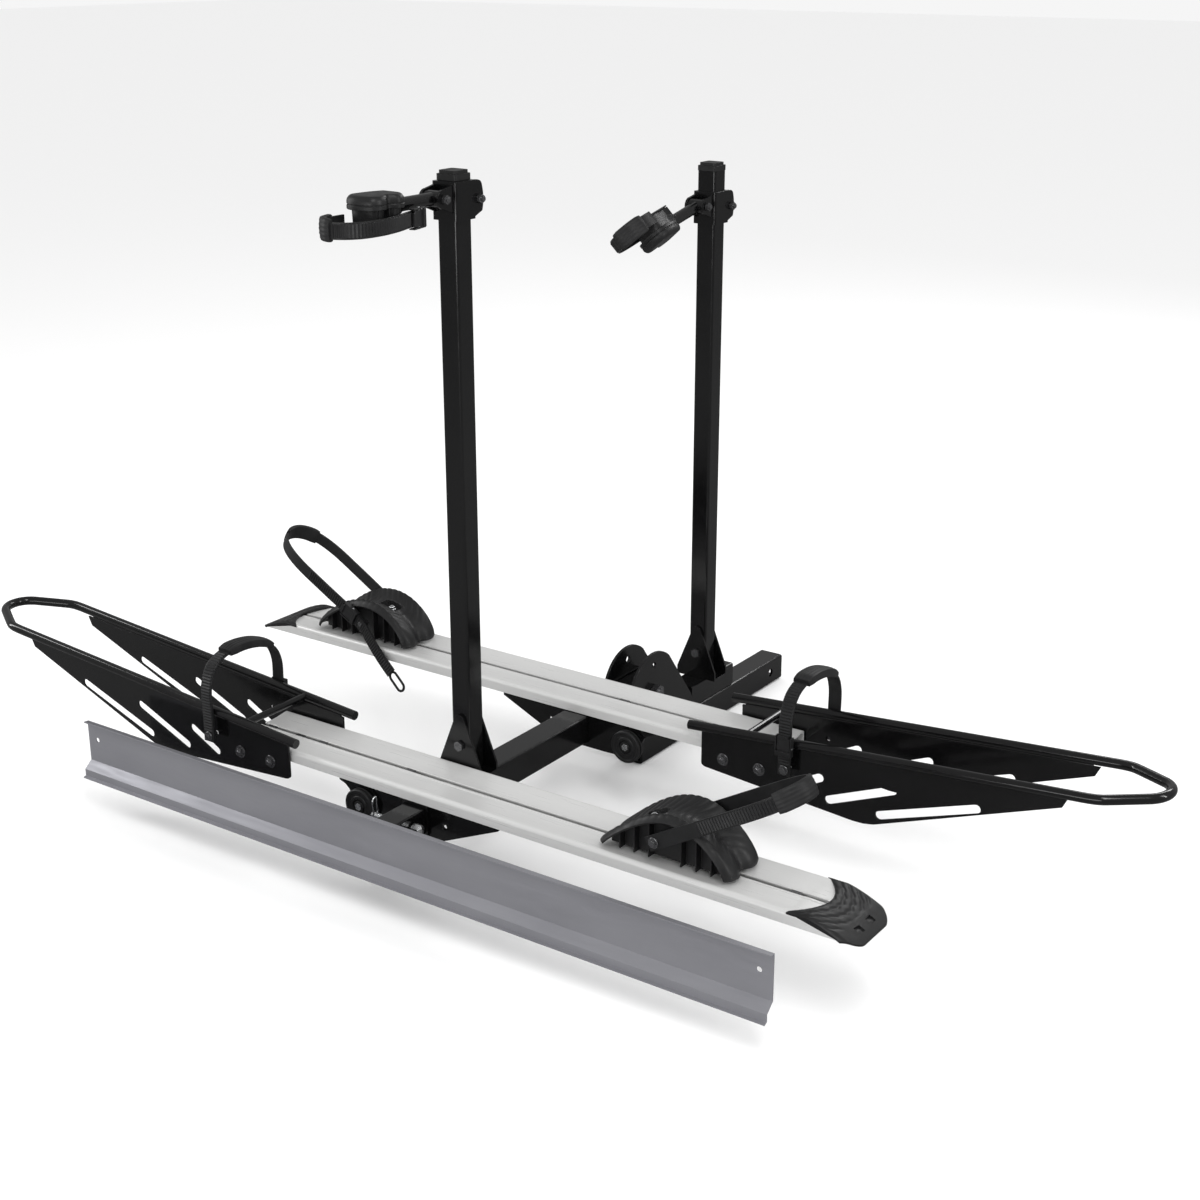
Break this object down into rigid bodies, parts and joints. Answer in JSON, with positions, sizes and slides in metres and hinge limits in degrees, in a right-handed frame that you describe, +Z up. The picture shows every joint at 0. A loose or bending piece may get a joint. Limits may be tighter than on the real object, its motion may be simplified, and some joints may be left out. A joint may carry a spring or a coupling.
{
  "type": "hitch mounted bike rack",
  "caption": "Hitch platform rack for bicycles: aluminium wheel trays with loops and cradles on a folding beam, masts with clamp arms, and a loading ramp.",
  "frame": {"origin": "on the top face of the hitch shank, on its centre line, straight above the receiver pin hole", "axes": "+X along the trays, +Y towards the vehicle along the shank, +Z up along the masts"},
  "size_m": [2.058, 1.2459, 1.1148],
  "materials": {
    "black_powder_coat": "gloss black powder coat on steel tube and plate",
    "tray_aluminium": "satin anodised extrusion, brushed along its length",
    "ramp_sheet": "plain grey rolled sheet, slightly scuffed",
    "moulded_plastic": "textured black glass-filled plastic",
    "strap_plastic": "semi-matt black toothed strap",
    "zinc_pin": "bright zinc plate",
    "dark_fastener": "black oxide fasteners"
  },
  "bodies": {
    "hitch": {"hitch_shank": "black_powder_coat", "pivot_plate_left": "black_powder_coat", "pivot_plate_right": "black_powder_coat", "pivot_bolt": "dark_fastener", "rear_mast_base": "black_powder_coat", "rear_mast_bolt": "dark_fastener"},
    "rack": {"main_beam": "black_powder_coat", "tail_tube": "black_powder_coat", "front_tray": "tray_aluminium", "front_tray_end_cap": "moulded_plastic", "front_hoop": "black_powder_coat", "front_hoop_plate_near": "black_powder_coat", "front_hoop_plate_far": "black_powder_coat", "front_hoop_bolt_1": "dark_fastener", "front_hoop_bolt_2": "dark_fastener", "front_bracket_near": "black_powder_coat", "front_bracket_far": "black_powder_coat", "front_roller_bolt": "dark_fastener", "rear_tray": "tray_aluminium", "rear_tray_end_cap": "moulded_plastic", "rear_hoop": "black_powder_coat", "rear_hoop_plate_near": "black_powder_coat", "rear_hoop_plate_far": "black_powder_coat", "rear_hoop_bolt_1": "dark_fastener", "rear_hoop_bolt_2": "dark_fastener", "rear_bracket_near": "black_powder_coat", "rear_bracket_far": "black_powder_coat", "rear_roller_bolt": "dark_fastener", "front_mast_base": "black_powder_coat", "front_mast_bolt": "dark_fastener"},
    "lock_pin": {"lock_pin": "zinc_pin"},
    "tail_pin": {"tail_pin": "zinc_pin"},
    "tail_pin_clip": {"tail_pin_clip": "zinc_pin"},
    "ramp": {"ramp": "ramp_sheet"},
    "front_mast": {"front_mast": "black_powder_coat", "front_mast_cap": "moulded_plastic"},
    "front_collar": {"front_collar": "black_powder_coat", "front_collar_bolt": "dark_fastener", "front_arm_bolt": "dark_fastener"},
    "front_arm": {"front_arm": "black_powder_coat"},
    "front_clamp": {"front_clamp_head": "moulded_plastic", "front_head_strap": "strap_plastic"},
    "front_cradle": {"front_cradle": "moulded_plastic", "front_cradle_bolt": "dark_fastener"},
    "front_cradle_strap": {"front_cradle_strap": "strap_plastic"},
    "front_hoop_strap": {"front_hoop_strap": "strap_plastic"},
    "front_roller": {"front_roller": "moulded_plastic"},
    "rear_mast": {"rear_mast": "black_powder_coat", "rear_mast_cap": "moulded_plastic"},
    "rear_collar": {"rear_collar": "black_powder_coat", "rear_collar_bolt": "dark_fastener", "rear_arm_bolt": "dark_fastener"},
    "rear_arm": {"rear_arm": "black_powder_coat"},
    "rear_clamp": {"rear_clamp_head": "moulded_plastic", "rear_head_strap": "strap_plastic"},
    "rear_cradle": {"rear_cradle": "moulded_plastic", "rear_cradle_bolt": "dark_fastener"},
    "rear_cradle_strap": {"rear_cradle_strap": "strap_plastic"},
    "rear_hoop_strap": {"rear_hoop_strap": "strap_plastic"},
    "rear_roller": {"rear_roller": "moulded_plastic"}
  },
  "joints": [
    {"name": "rack_fold", "type": "hinge", "parent": "hitch", "child": "rack", "pos_m": [0, -0.441, 0.087], "axis": [-1, 0, 0], "range_deg": [0, 90]},
    {"name": "lock_pin_pull", "type": "slide", "parent": "hitch", "child": "lock_pin", "axis": [1, 0, 0], "range_m": [0, 0.085]},
    {"name": "front_mast_fold", "type": "hinge", "parent": "rack", "child": "front_mast", "pos_m": [-0.008, -0.9302, 0.157], "axis": [0, 1, 0], "range_deg": [0, 90]},
    {"name": "rear_mast_fold", "type": "hinge", "parent": "hitch", "child": "rear_mast", "pos_m": [0.004, -0.232, 0.095], "axis": [0, -1, 0], "range_deg": [0, 90]},
    {"name": "front_collar_slide", "type": "slide", "parent": "front_mast", "child": "front_collar", "axis": [0, 0, 1], "range_m": [-0.55, 0]},
    {"name": "rear_collar_slide", "type": "slide", "parent": "rear_mast", "child": "rear_collar", "axis": [0, 0, 1], "range_m": [-0.5, 0.03]},
    {"name": "front_arm_tilt", "type": "hinge", "parent": "front_collar", "child": "front_arm", "pos_m": [-0.008, -0.9752, 1.027], "axis": [-1, 0, 0], "range_deg": [-60, 45]},
    {"name": "rear_arm_tilt", "type": "hinge", "parent": "rear_collar", "child": "rear_arm", "pos_m": [0.004, -0.277, 0.939], "axis": [-1, 0, 0], "range_deg": [-48, 57]},
    {"name": "front_clamp_turn", "type": "hinge", "parent": "front_arm", "child": "front_clamp", "pos_m": [-0.008, -0.9752, 1.027], "axis": [0, 1, 0], "range_deg": [-90, 90]},
    {"name": "rear_clamp_turn", "type": "hinge", "parent": "rear_arm", "child": "rear_clamp", "pos_m": [0.004, -0.277, 0.939], "axis": [0, 0.9781, 0.2079], "range_deg": [-90, 90]},
    {"name": "front_cradle_slide", "type": "slide", "parent": "rack", "child": "front_cradle", "axis": [1, 0, 0], "range_m": [-0.3, 0.08]},
    {"name": "rear_cradle_slide", "type": "slide", "parent": "rack", "child": "rear_cradle", "axis": [1, 0, 0], "range_m": [-0.018, 0.3]},
    {"name": "front_cradle_strap_swing", "type": "hinge", "parent": "front_cradle", "child": "front_cradle_strap", "pos_m": [0.44, -1.015, 0.163], "axis": [0, -1, 0], "range_deg": [-20, 95]},
    {"name": "rear_cradle_strap_swing", "type": "hinge", "parent": "rear_cradle", "child": "rear_cradle_strap", "pos_m": [-0.502, -0.582, 0.163], "axis": [0, 1, 0], "range_deg": [-20, 95]},
    {"name": "front_hoop_strap_swing", "type": "hinge", "parent": "rack", "child": "front_hoop_strap", "pos_m": [-0.428, -1.015, 0.121], "axis": [0, 1, 0], "range_deg": [-45, 45]},
    {"name": "rear_hoop_strap_swing", "type": "hinge", "parent": "rack", "child": "rear_hoop_strap", "pos_m": [0.428, -0.582, 0.121], "axis": [0, 1, 0], "range_deg": [-45, 45]},
    {"name": "front_roller_spin", "type": "hinge", "parent": "rack", "child": "front_roller", "pos_m": [-0.11, -1.08, 0.073], "axis": [0, 1, 0], "continuous": true},
    {"name": "rear_roller_spin", "type": "hinge", "parent": "rack", "child": "rear_roller", "pos_m": [0.11, -0.647, 0.073], "axis": [0, 1, 0], "continuous": true},
    {"name": "tail_pin_pull", "type": "slide", "parent": "rack", "child": "tail_pin", "axis": [1, 0, 0], "range_m": [0, 0.09]},
    {"name": "tail_pin_clip_pull", "type": "slide", "parent": "tail_pin", "child": "tail_pin_clip", "axis": [0, 0, 1], "range_m": [0, 0.18]},
    {"name": "ramp_lift_off", "type": "slide", "parent": "rack", "child": "ramp", "axis": [0, -1, 0], "range_m": [0, 0.3]}
  ],
  "couplings": [
    {"joint": "front_mast_fold", "follows": "rack_fold", "ratio": 1},
    {"joint": "tail_pin_clip_pull", "follows": "tail_pin_pull", "ratio": 2}
  ]
}
